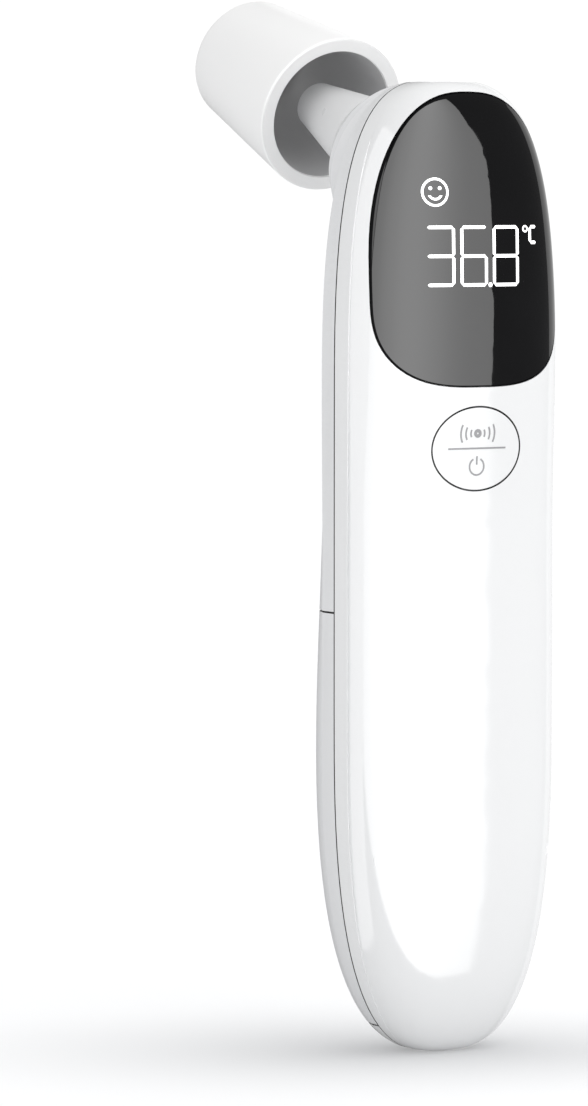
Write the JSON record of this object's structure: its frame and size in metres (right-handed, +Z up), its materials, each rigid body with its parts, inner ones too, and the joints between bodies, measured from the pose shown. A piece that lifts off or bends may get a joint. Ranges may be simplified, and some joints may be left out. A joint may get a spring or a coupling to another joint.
{
  "type": "digital ear thermometer",
  "caption": "Hand-held infrared ear thermometer with a display, a scan button, a tapered ear probe and a pull-off forehead cap shown part-way off.",
  "frame": {"origin": "centre of the small flat on the base end, on the plane where the front and back shells meet", "axes": "+Z up the body to the head, +X to the reader's right, the display faces -Y and the probe points towards +Y, 19.3 degrees above the horizontal"},
  "size_m": [0.0374, 0.0732, 0.1637],
  "materials": {
    "shell_front": "high gloss white ABS",
    "shell_back": "satin to gloss white ABS",
    "battery_door": "satin to gloss white ABS",
    "lens_black": "mirror gloss black-tinted acrylic",
    "gasket": "double-sided adhesive foam",
    "display_body": "black module body",
    "display_light": "lit white figures",
    "button_white": "gloss white key",
    "board_green": "solder-masked laminate",
    "chip_black": "moulded packages",
    "buzzer_black": "piezo buzzer case",
    "switch_metal": "switch frame",
    "plunger_black": "switch plunger",
    "collar_white": "satin white ABS",
    "seat_steel": "plain steel ring",
    "probe_grey": "light grey satin plastic",
    "nut_black": "moulded ring nut",
    "window_film": "infrared filter window",
    "waveguide_gold": "gold-plated tube",
    "holder_metal": "turned aluminium",
    "sensor_can": "nickel-plated can",
    "ribbon_amber": "polyimide flat cable",
    "cap_white": "satin white ABS",
    "liner_grey": "grey lining",
    "magnet_nickel": "nickel-plated magnet",
    "tray_black": "moulded tray",
    "cell_jacket": "plain printed jacket",
    "contact_nickel": "nickel-plated spring wire",
    "screw_steel": "zinc-plated steel"
  },
  "bodies": {
    "thermometer": {"front_shell": "shell_front", "back_shell": "shell_back", "display_lens": "lens_black", "lens_gasket": "gasket", "display_module": "display_body", "display_segments": "display_light", "main_board": "board_green", "board_components": "chip_black", "buzzer": "buzzer_black", "hall_sensor": "chip_black", "tact_switch": "switch_metal", "probe_collar": "collar_white", "seat_ring": "seat_steel", "ear_probe": "probe_grey", "probe_nut": "nut_black", "tip_window": "window_film", "waveguide_tube": "waveguide_gold", "sensor_holder": "holder_metal", "thermopile_sensor": "sensor_can", "sensor_ribbon": "ribbon_amber", "battery_tray": "tray_black", "battery_left": "cell_jacket", "battery_right": "cell_jacket", "battery_springs": "contact_nickel", "contact_plates": "contact_nickel", "case_screws": "screw_steel", "board_screws": "screw_steel"},
    "scan_key": {"scan_button": "button_white", "switch_plunger": "plunger_black"},
    "battery_door": {"battery_cover": "battery_door"},
    "cap": {"forehead_cap": "cap_white", "cap_liner": "liner_grey", "cap_magnets": "magnet_nickel"}
  },
  "joints": [
    {"name": "button_press", "type": "slide", "parent": "thermometer", "child": "scan_key", "axis": [0, 1, 0], "range_m": [0, 0.0006], "stiffness_N_per_m": 800, "springref_m": -0.0005},
    {"name": "cap_pull", "type": "slide", "parent": "thermometer", "child": "cap", "axis": [0, 0.9438, 0.3305], "range_m": [-0.0197, 0.015]},
    {"name": "cover_lift", "type": "slide", "parent": "thermometer", "child": "battery_door", "axis": [0, 1, 0], "range_m": [0, 0.03]}
  ]
}
